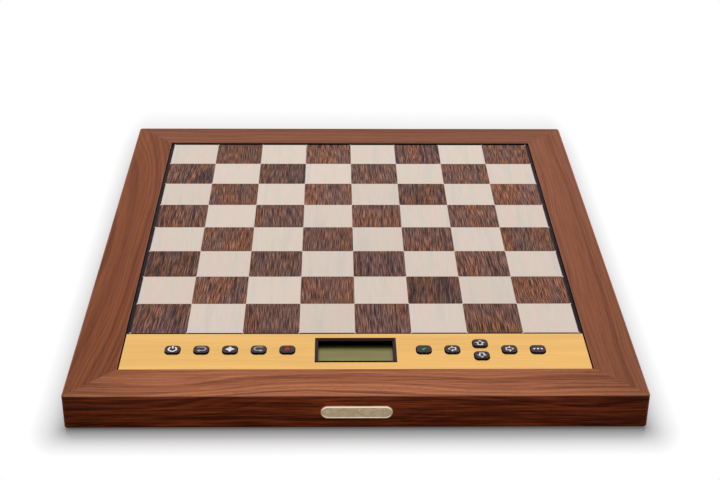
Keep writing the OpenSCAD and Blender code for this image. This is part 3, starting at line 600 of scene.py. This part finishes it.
def display_glass():
    """Liquid crystal cell under a clear polariser: grey olive, even, with the faint
    grain of its reflector and a glossy face. The cell lies deep under the polariser, and a
    painted shadow of the bezel's back wall makes it dark olive along the window's back edge."""
    material, tree = new_material("liquid_crystal_glass")
    grain = add(tree, "TexNoise", {
        "Vector": millimetres(tree, (0.4, 0.4, 0.4)), "Scale": 1.0, "Detail": 2.0})
    cast = add(tree, "TexNoise", {
        "Vector": millimetres(tree, (25, 9, 9)), "Scale": 1.0, "Detail": 1.0})
    uneven = add(tree, "Math", [grain, 0.25, cast], operation="MULTIPLY_ADD")
    olive = add(tree, "ValToRGB", [uneven], [(0.45, "#867d4b"), (0.8, "#928857")])
    # Painted shadow of the bezel's back wall, darkest at the window's back edge
    window_back = (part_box("display_glass")[1].y - GLASS_BEHIND) / MM
    place = add(tree, "SeparateXYZ", [millimetres(tree)]).outputs["Y"]
    depth = add(tree, "Math", [window_back, place], operation="SUBTRACT")
    shade = add(tree, "ValToRGB", [add(tree, "MapRange", [depth, 0, BEZEL_SHADOW_LENGTH])], [
        (0.0, "#858c40"), (0.2, "#6f7538"), (0.36, "#6a7044"), (0.46, "#b4b8c4"),
        (0.68, "#dadcdc"), (1.0, "#ffffff")])
    shaded = add(tree, "Mix", {0: 1.0, MIX_A: olive, MIX_B: shade}, data_type="RGBA",
                 blend_type="MULTIPLY")
    return surfaced(material, {
        "Base Color": shaded, "Roughness": 0.12, "Specular IOR Level": 0.15})


def light_pipe_acrylic():
    """Acrylic light pipes, their ends frosted: milky and a little uneven."""
    material, tree = new_material("acrylic_frosted")
    frost = add(tree, "TexNoise", {
        "Vector": millimetres(tree, (0.3, 0.3, 0.3)), "Scale": 1.0, "Detail": 2.0})
    colour = add(tree, "ValToRGB", [frost], [(0.35, "#b9b1a8"), (0.65, "#dfd8d0")])
    return surfaced(material, {"Base Color": colour, "Roughness": 0.4})


# Plain plastics and rubbers: the darker and the paler tone, roughness, and in
# millimetres how far the tone drifts and how deep the skin's relief is
PLASTICS = {
    "silicone_grey": ("#a9aaa6", "#bfc0bc", 0.45, 3, 0.02),             # milky, satin
    "nylon_natural": ("#d3c9ab", "#e0d7bd", 0.45, 3, 0.02),             # cream, undyed
    "epoxy_moulded_black": ("#121212", "#1d1c1c", 0.6, 2, 0.03),        # dull, gritty
    "vinyl_sheath_grey": ("#4f4f52", "#616165", 0.5, 4, 0.03),          # satin
    "rubber_feet_black": ("#141414", "#232323", 0.75, 3, 0.05),         # dull, dusty
    "epoxy_clear_phosphor": ("#e2d68a", "#f0e7ab", 0.25, 1, 0.01),      # yellow under clear
    "acrylic_white_diffuser": ("#dfe2de", "#eef0ec", 0.3, 5, 0.01),     # even white
    "carbon_pads": ("#1b1b1c", "#29292a", 0.8, 1, 0.02),                # dry ink, dull
    "sleeve_navy": ("#0c1230", "#18214a", 0.25, 4, 0.01),               # thin shrunk film
}


def plastic(name):
    """One of the plain plastics, its tone drifting a little."""
    dark, pale, roughness, drift_mm, depth = PLASTICS[name]
    material, tree = new_material(name)
    drift = add(tree, "TexNoise", {
        "Vector": millimetres(tree, (drift_mm, drift_mm, drift_mm)), "Scale": 1.0,
        "Detail": 4.0})
    skin = add(tree, "TexNoise", {
        "Vector": millimetres(tree, (0.4, 0.4, 0.4)), "Scale": 1.0, "Detail": 2.0})
    colour = add(tree, "ValToRGB", [drift], [(0.35, dark), (0.65, pale)])
    return surfaced(material, {"Base Color": colour, "Roughness": roughness},
                    height=skin, strength=0.4, depth=depth)


def solder_mask():
    """Fibreglass board under green solder mask: glossy, with copper tracks 2 mm apart
    that show through as paler lines."""
    material, tree = new_material("circuit_board_solder_mask")
    tracks = add(tree, "TexBrick", {
        "Vector": millimetres(tree), "Scale": 0.12, "Mortar Size": 0.035,
        "Color1": linear("#0b3d20"), "Color2": linear("#0e4526"),
        "Mortar": linear("#1f6b3c")})
    weave = add(tree, "TexNoise", {
        "Vector": millimetres(tree, (0.8, 0.8, 0.8)), "Scale": 1.0, "Detail": 2.0})
    colour = add(tree, "Mix", {
        0: add(tree, "Math", [weave, 0.25], operation="MULTIPLY"), MIX_A: tracks,
        MIX_B: linear("#2f7d4d")}, data_type="RGBA")
    return surfaced(material, {"Base Color": colour, "Roughness": 0.3})


# ---- Keys -------------------------------------------------------------------

KEY_EDGE = 0.55 * MM            # rounding round a key's top
KEY_CROWN = 0.22 * MM           # how much a key's middle stands above its edge
CROWN_POWER = 2.6               # keeps the crown flat in the middle
CROWN_RINGS = (0.86, 0.7, 0.5, 0.3, 0.12)       # as shares of the top's size
CAP_SIZE = Vector((10.7, 9.8)) * MM
CAP_CORNER = 3.0 * MM
CARRIER_PANEL = 2.0 * MM        # panel of the key carrier that holds the flanges down
FLANGE_RIM = 1.1 * MM
FLANGE_T = 1.0 * MM
FLANGE_CORNER = 0.5 * MM
PLUNGER_SIZE = Vector((5.0, 4.0)) * MM
PLUNGER_CORNER = 0.3 * MM
CORNER_STEPS = 10               # facets round a corner
EDGE_STEPS = 5
INK_T = 0.04 * MM               # how far the ink stands above the rubber
MARK_SHIFT = -0.4 * MM          # the marks sit a little in front of their keys' middles
LEAST_RADIUS = 0.01 * MM
SHARP_ANGLE = 40                # edges that bend more, in degrees, stay sharp


def rounded_ring(width, depth, radius):
    """Points round a rectangle with round corners, anticlockwise."""
    radius = max(radius, LEAST_RADIUS)
    points = []
    for i, (sx, sy) in enumerate([(1, 1), (-1, 1), (-1, -1), (1, -1)]):
        for k in range(CORNER_STEPS + 1):
            turn = math.radians(90 * (i + k / CORNER_STEPS))
            points.append((sx * (width / 2 - radius) + radius * math.cos(turn),
                           sy * (depth / 2 - radius) + radius * math.sin(turn)))
    return points


def crown_height(x, y):
    """Height of a key's top over its edge, at x, y from its middle."""
    half = CAP_SIZE / 2 - Vector((KEY_EDGE, KEY_EDGE))
    u = min(abs(x) / half.x, 1)
    v = min(abs(y) / half.y, 1)
    return KEY_CROWN * (1 - u ** CROWN_POWER) * (1 - v ** CROWN_POWER)


def loft(mesh, rings):
    """Joins rings of points, each as long as the next, and closes both ends."""
    rows = [[mesh.verts.new(point) for point in ring] for ring in rings]
    count = len(rows[0])
    for low, high in zip(rows, rows[1:]):
        for i in range(count):
            j = (i + 1) % count
            mesh.faces.new((low[i], low[j], high[j], high[i]))
    mesh.faces.new(rows[0][::-1])
    mesh.faces.new(rows[-1])


def finish_piece(mesh, name, material, body):
    """Turns a bmesh into a piece that rides on a body, smooth but for its edges."""
    bmesh.ops.recalc_face_normals(mesh, faces=mesh.faces)
    data = bpy.data.meshes.new(name)
    mesh.to_mesh(data)
    mesh.free()
    data.materials.append(material)
    for polygon in data.polygons:
        polygon.use_smooth = True
    data.set_sharp_from_angle(angle=math.radians(SHARP_ANGLE))
    piece = bpy.data.objects.new(name, data)
    bpy.context.scene.collection.objects.link(piece)
    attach(piece, body)
    return piece


def key_cap(node, material):
    """One key in one piece of rubber: plunger, flange, and a cap with a crowned top."""
    low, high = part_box(node)
    middle = (low + high) / 2
    flange_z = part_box("key_carrier")[1].z - CARRIER_PANEL - FLANGE_T
    mesh = bmesh.new()

    def ring(size, radius, z):
        return [(middle.x + x, middle.y + y, z)
                for x, y in rounded_ring(size.x, size.y, radius)]

    flange = CAP_SIZE + 2 * Vector((FLANGE_RIM, FLANGE_RIM))
    rings = [
        ring(PLUNGER_SIZE, PLUNGER_CORNER, low.z),
        ring(PLUNGER_SIZE, PLUNGER_CORNER, flange_z),
        ring(flange, FLANGE_CORNER, flange_z),
        ring(flange, FLANGE_CORNER, flange_z + FLANGE_T),
        ring(CAP_SIZE, CAP_CORNER, flange_z + FLANGE_T)]
    shoulder = high.z - KEY_CROWN - KEY_EDGE
    for k in range(EDGE_STEPS + 1):
        turn = math.radians(90 * k / EDGE_STEPS)
        inset = KEY_EDGE * (1 - math.cos(turn))
        rings.append(ring(CAP_SIZE - 2 * Vector((inset, inset)), CAP_CORNER - inset,
                          shoulder + KEY_EDGE * math.sin(turn)))
    top = CAP_SIZE - 2 * Vector((KEY_EDGE, KEY_EDGE))
    for share in CROWN_RINGS:
        rings.append([
            (x, y, z + crown_height(x - middle.x, y - middle.y)) for x, y, z in
            ring(top * share, (CAP_CORNER - KEY_EDGE) * share, high.z - KEY_CROWN)])
    loft(mesh, rings)
    piece = finish_piece(mesh, node + "_rubber", material, node)
    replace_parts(piece, node)


# Marks on the keys, in millimetres from the middle of a mark

OUTLINE_W = 0.74                # widths of the lines
RETURN_W = 1.0
POWER_W = 1.1
BOLD_W = 1.2
MITRE_LIMIT = 0.45              # keeps the tips of sharp bends short


def arc(centre, radius, start, end, steps=14):
    """Points along an arc, angles in degrees."""
    turns = [math.radians(start + (end - start) * k / steps) for k in range(steps + 1)]
    return [(centre[0] + radius * math.cos(t), centre[1] + radius * math.sin(t))
            for t in turns]


def turned(points, degrees):
    """Points turned round the middle of the mark."""
    c, s = math.cos(math.radians(degrees)), math.sin(math.radians(degrees))
    return [(c * x - s * y, s * x + c * y) for x, y in points]


def mirrored(points):
    """Points with left and right exchanged."""
    return [(-x, y) for x, y in points]


def stroke(points, width, closed=False):
    """Quads along a line of points, mitred where it bends."""
    count = len(points)
    sides = []
    for i, (x, y) in enumerate(points):
        before = points[i - 1] if closed or i else points[i]
        after = points[(i + 1) % count] if closed or i < count - 1 else points[i]
        into = Vector((x - before[0], y - before[1]))
        out = Vector((after[0] - x, after[1] - y))
        into = (into if into.length else out).normalized()
        out = (out if out.length else into).normalized()
        normal = Vector((-(into + out).y, (into + out).x)).normalized()
        reach = width / 2 / max(normal.dot(Vector((-into.y, into.x))), MITRE_LIMIT)
        sides.append(((x + normal.x * reach, y + normal.y * reach),
                      (x - normal.x * reach, y - normal.y * reach)))
    pairs = list(zip(sides, sides[1:] + sides[:1]))
    return [[a[0], a[1], b[1], b[0]] for a, b in (pairs if closed else pairs[:-1])]


def block_arrow(degrees):
    """A hollow arrow that points that way."""
    outline = [(2.7, 0), (0.2, 2.8), (0.2, 1.45), (-2.3, 1.45), (-2.3, -1.45),
               (0.2, -1.45), (0.2, -2.8)]
    return stroke(turned(outline, degrees), OUTLINE_W, closed=True)


def return_arrow():
    """A broad arrow that comes back in a half turn, and points to the left."""
    shaft = [(-3.0, 2.7)] + arc((0.9, 0.5), 2.2, 90, -90) + [(-1.0, -1.7)]
    return stroke(shaft, RETURN_W) + [[(-1.0, -0.2), (-3.2, -1.7), (-1.0, -3.2)]]


def power_mark():
    """A ring with a gap at the top, and a bar in the gap."""
    ring = arc((0, 0.2), 2.75, 125, 415)
    return stroke(ring, POWER_W) + stroke([(0, 0.8), (0, 4.2)], POWER_W)


def menu_mark():
    """Four arrow heads that meet, filled."""
    neck_right, neck_left = (0.55, 1.0), (-0.55, 1.0)
    head = [neck_right, (1.5, 1.35), (0, 3.3), (-1.5, 1.35), neck_left]
    heads = [turned(head, 90 * i) for i in range(4)]
    middle = [point for i in range(4) for point in turned([neck_right, neck_left], 90 * i)]
    return heads + [middle]


def cross_mark():
    """Two bars that cross."""
    return [quad for bar in ([(-1.2, -1.2), (1.2, 1.2)], [(-1.2, 1.2), (1.2, -1.2)])
            for quad in stroke(bar, BOLD_W)]


def tick_mark():
    """A tick with a short and a long leg."""
    return stroke([(-1.3, 0.2), (-0.4, -0.9), (1.4, 1.0)], BOLD_W)


def three_pips():
    """Three filled discs in a row."""
    return [arc((x, 0), 0.85, 0, 345, steps=23) for x in (-2.6, 0, 2.6)]


def key_mark(node, faces, name, material):
    """Ink laid on a key's crowned top, as a sheet that follows it, half sunk in it."""
    low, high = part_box(node)
    middle = (low + high) / 2
    mesh = bmesh.new()

    def points(face, lift):
        placed = []
        for px, py in face:
            x, y = px * MM, py * MM + MARK_SHIFT
            top = high.z - KEY_CROWN + crown_height(x, y)
            placed.append(mesh.verts.new((middle.x + x, middle.y + y, top + lift)))
        return placed

    for face in faces:
        upper = points(face, INK_T)
        lower = points(face, -INK_T)
        mesh.faces.new(upper)
        mesh.faces.new(lower[::-1])
        for i in range(len(face)):
            j = (i + 1) % len(face)
            mesh.faces.new((upper[i], lower[i], lower[j], upper[j]))
    finish_piece(mesh, name, material, node)


# ---- Badge ------------------------------------------------------------------

BADGE_ROUND = 1.1 * MM          # rounding of the badge's edge
BADGE_STEPS = 6                 # facets across that rounding
BADGE_RIM = 0.3 * MM            # flat land between the rounding and the sunk face
BADGE_SINK = 0.25 * MM          # how deep the face lies behind the land


def cast_badge(material):
    """The bare badge: round ends, a rounded edge, and a face sunk behind a narrow rim."""
    low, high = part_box("badge")
    width, height, thickness = high.x - low.x, high.z - low.z, high.y - low.y
    middle = (low + high) / 2
    mesh = bmesh.new()

    def ring(inset, out):
        # The ends are all but half circles, so that no two points fall together
        tall = height - 2 * inset
        return [(middle.x + x, high.y - out, middle.z + z)
                for x, z in rounded_ring(width - 2 * inset, tall, tall / 2 - 0.001 * MM)]

    rings = [ring(0, 0)]
    for k in range(BADGE_STEPS + 1):
        turn = math.radians(90 * k / BADGE_STEPS)
        rings.append(ring(BADGE_ROUND * (1 - math.cos(turn)),
                          thickness - BADGE_ROUND * (1 - math.sin(turn))))
    rings.append(ring(BADGE_ROUND + BADGE_RIM, thickness))
    rings.append(ring(BADGE_ROUND + BADGE_RIM + BADGE_SINK, thickness - BADGE_SINK))
    loft(mesh, rings)
    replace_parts(finish_piece(mesh, "badge_cast", material, "case"), "badge")


# ---- Floor and light --------------------------------------------------------

PAPER_HALF = 6.0                # half a side of the paper, in metres, as the next four are
SIDE_FAR = 0.0235               # how far beside the case the painted shadow reaches; past it the paper is white
FRONT_START = 0.003             # how far under the case's front that begins
FRONT_FAR = 0.028
BACK_FAR = 0.105
FADE_POWER = 0.43               # under a half, so that most of the fade is near the case
GROUND_LIFT = 0.1               # light of the paper's own, that keeps its shadow pale
ROOM_LEVEL = 0.15               # the room's light on the object

WHITE = (1, 1, 1, 1)
BOUNCE_GREY = (0.3, 0.3, 0.3, 1)        # how pale the paper is for the light it throws back

SOFTBOX_PLACE = Vector((0, 2.1, 3.6))   # in metres, as its size is
SOFTBOX_SIZE = (3.4, 2.6)
SOFTBOX_WATTS = 175


def seen_directly(tree):
    """One for what the camera sees straight, in a polish or through glass."""
    path = add(tree, "LightPath").outputs
    either = add(tree, "Math", [path["Is Camera Ray"], path["Is Glossy Ray"]],
                 operation="MAXIMUM")
    return add(tree, "Math", [either, path["Is Transmission Ray"]], operation="MAXIMUM")


def matt_paper():
    """Paper, matt and white. Near the case it is half grey, a painted shadow, and takes
    the case's own shadow too; further out it goes over to plain white."""
    material, tree = new_material("paper_white_matt")
    place = add(tree, "TexCoord").outputs["Object"]
    sides = add(tree, "SeparateXYZ", [place]).outputs
    far_squared = []
    for side, edge, start, low_far, high_far in (
            (sides["X"], cad_high.x, 0.0, SIDE_FAR, SIDE_FAR),
            (sides["Y"], cad_high.y, FRONT_START, FRONT_FAR, BACK_FAR)):
        below = add(tree, "MapRange", [side, start - edge, -edge - low_far])
        above = add(tree, "MapRange", [side, edge, edge + high_far])
        past = add(tree, "Math", [below, above], operation="ADD")
        far_squared.append(add(tree, "Math", [past, 2.0], operation="POWER"))
    away = add(tree, "Math", [
        add(tree, "Math", far_squared, operation="ADD"), FADE_POWER], operation="POWER")
    fibre = add(tree, "TexNoise", {"Vector": place, "Scale": 900.0})
    # Painted shadow: near the case the paper is half grey
    tone = add(tree, "MapRange", [fibre, 0, 1, 0.5, 0.54])
    paper = add(tree, "AddShader", [
        add(tree, "BsdfDiffuse", {"Color": tone}),
        add(tree, "Emission", {"Color": WHITE, "Strength": GROUND_LIFT})])
    seen = add(tree, "MixShader", [
        add(tree, "MapRange", [away]), paper,
        add(tree, "Emission", {"Color": WHITE, "Strength": 1.0})])
    mixed = add(tree, "MixShader", [
        seen_directly(tree), add(tree, "BsdfDiffuse", {"Color": BOUNCE_GREY}), seen])
    add(tree, "OutputMaterial", {"Surface": mixed})
    return material


def paper_ground():
    """A wide sheet of paper under the case."""
    mesh = bmesh.new()
    mesh.faces.new([mesh.verts.new((x * PAPER_HALF, y * PAPER_HALF, 0))
                    for x, y in ((-1, -1), (1, -1), (1, 1), (-1, 1))])
    data = bpy.data.meshes.new("paper_ground")
    mesh.to_mesh(data)
    mesh.free()
    data.materials.append(matt_paper())
    ground = bpy.data.objects.new("paper_ground", data)
    bpy.context.scene.collection.objects.link(ground)


def white_room():
    """White all round where it is seen, and a low even light for the rest."""
    world = bpy.data.worlds.new("white_room")
    bpy.context.scene.world = world
    world.use_nodes = True
    tree = world.node_tree
    tree.nodes.clear()
    mixed = add(tree, "MixShader", [
        seen_directly(tree),
        add(tree, "Background", {"Color": WHITE, "Strength": ROOM_LEVEL}),
        add(tree, "Background", {"Color": WHITE, "Strength": 1.0})])
    add(tree, "OutputWorld", {"Surface": mixed})


def overhead_softbox():
    """A studio softbox behind and above the case, that faces its middle."""
    data = bpy.data.lights.new("overhead_softbox", "AREA")
    data.shape = "RECTANGLE"
    data.size, data.size_y = SOFTBOX_SIZE
    data.energy = SOFTBOX_WATTS
    lamp = bpy.data.objects.new("overhead_softbox", data)
    lamp.visible_glossy = False     # polished metal shows the white room instead
    bpy.context.scene.collection.objects.link(lamp)
    lamp.location = SOFTBOX_PLACE
    lamp.rotation_mode = "QUATERNION"
    lamp.rotation_quaternion = (Vector() - SOFTBOX_PLACE).to_track_quat("-Z", "Y")


# ---- Putting it together ----------------------------------------------------

bpy.context.scene.view_settings.view_transform = "Standard"
place_camera()
white_room()
paper_ground()
overhead_softbox()

rubber = key_rubber()
white_ink = key_ink("ink_white", "#fbfafc", "#d4d1d6")
grey_ink = key_ink("ink_grey", "#b9b7bb", "#8b888d")
red_ink = key_ink("ink_red", "#df2f14", "#a8200f")
green_ink = key_ink("ink_green", "#00c468", "#009d54")
KEY_MARKS = {
    "power_key": (power_mark(), white_ink),
    "flip_board_key": (return_arrow(), grey_ink),
    "menu_key": (menu_mark(), white_ink),
    "take_back_key": ([mirrored(face) for face in return_arrow()], grey_ink),
    "cancel_key": (cross_mark(), red_ink),
    "confirm_key": (tick_mark(), green_ink),
    "left_key": (block_arrow(180), white_ink),
    "up_key": (block_arrow(90), white_ink),
    "down_key": (block_arrow(270), white_ink),
    "right_key": (block_arrow(0), white_ink),
    "new_game_key": (three_pips(), white_ink),
}
for key, (faces, ink) in KEY_MARKS.items():
    key_cap(key, rubber)
    key_mark(key, faces, key.replace("_key", "_mark"), ink)

pewter = cast_pewter()
cast_badge(pewter)

# The nodes of each finish
FINISHES = [(oiled_walnut(rail, **board), [rail]) for rail, board in RAIL_BOARDS.items()] + [
    (sawn_beech(), ["corner_splines", "corner_blocks", "ledge_strips", "cross_batten",
                    "board_supports"]),
    (tempered_hardboard(), ["base_panel"]),
    (maple_veneer(), ["light_squares"]),
    (rosewood_veneer(), ["dark_squares"]),
    (black_dyed_veneer(), ["border_strip"]),
    (birch_plywood(), ["core_panel"]),
    (brushed_brass(), ["brass_plate"]),
    (pewter, ["badge", "badge_pins"]),
    (zinc_plated_steel(), ["base_screws", "board_screws", "carrier_screws",
                           "power_board_screws", "crystal", "inlet_pin"]),
    (black_abs(), ["key_carrier", "display_bezel", "buzzer", "inlet_housing"]),
    (display_glass(), ["display_glass"]),
    (light_pipe_acrylic(), ["light_pipes"]),
    (solder_mask(), ["sensor_board", "control_board", "power_board"]),
    (plastic("silicone_grey"), ["key_membrane", "display_connectors"]),
    (plastic("nylon_natural"), ["sensor_plug", "control_plug", "power_plugs", "cable_clips"]),
    (plastic("epoxy_moulded_black"), ["piece_sensors", "processor", "memory_chip"]),
    (plastic("vinyl_sheath_grey"), ["sensor_ribbon", "power_cable"]),
    (plastic("rubber_feet_black"), ["rubber_feet"]),
    (plastic("epoxy_clear_phosphor"), ["position_leds"]),
    (plastic("acrylic_white_diffuser"), ["display_backlight"]),
    (plastic("carbon_pads"), ["contact_pads"]),
    (plastic("sleeve_navy"), ["capacitors"]),
]
for material, nodes in FINISHES:
    for node in nodes:
        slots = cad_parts[node].data.materials
        slots.clear()
        slots.append(material)
